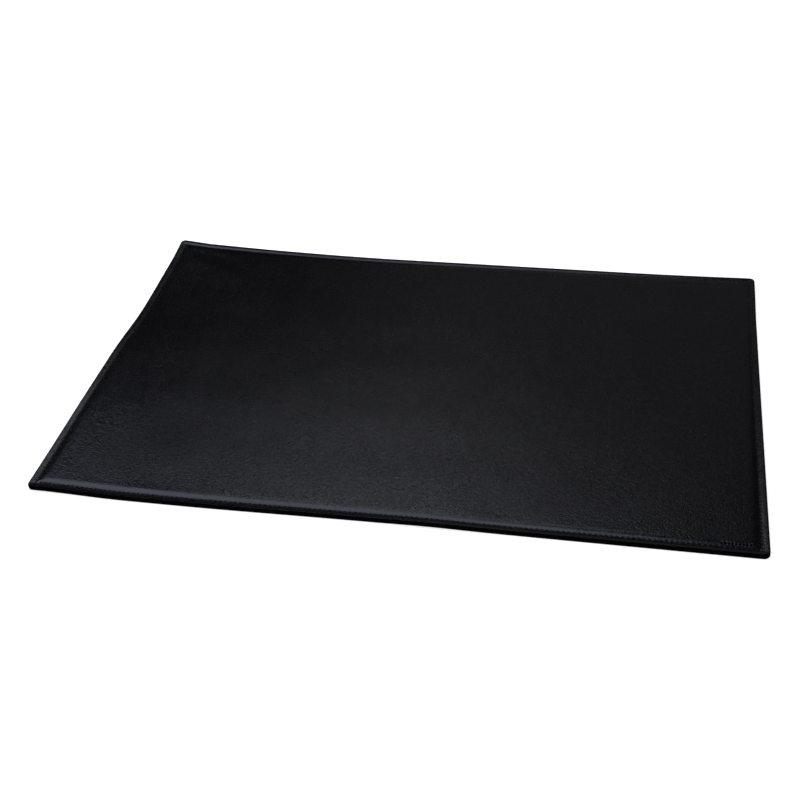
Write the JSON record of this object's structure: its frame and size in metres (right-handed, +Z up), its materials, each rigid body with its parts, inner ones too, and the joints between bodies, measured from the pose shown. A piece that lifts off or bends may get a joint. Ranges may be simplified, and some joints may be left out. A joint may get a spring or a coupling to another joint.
{
  "type": "desk mat",
  "caption": "Rectangular padded leather desk mat with a turned-in, stitched border, a stiff core and a non-slip cloth underside.",
  "frame": {"origin": "on the desk, under the middle of the mat", "axes": "+X along the long side to the right, +Y to the back, +Z up out of the desk"},
  "size_m": [0.6, 0.4, 0.0043],
  "materials": {
    "leather": "satin",
    "foam": "matte",
    "board": "matte",
    "card": "matte",
    "lining": "matte",
    "needle_thread": "satin",
    "bobbin_thread": "satin"
  },
  "bodies": {
    "root": {"leather_cover": "leather", "foam_padding": "foam", "stiffener_board": "board", "infill_card": "card", "bottom_lining": "lining", "needle_thread": "needle_thread", "bobbin_thread": "bobbin_thread"}
  },
  "joints": []
}
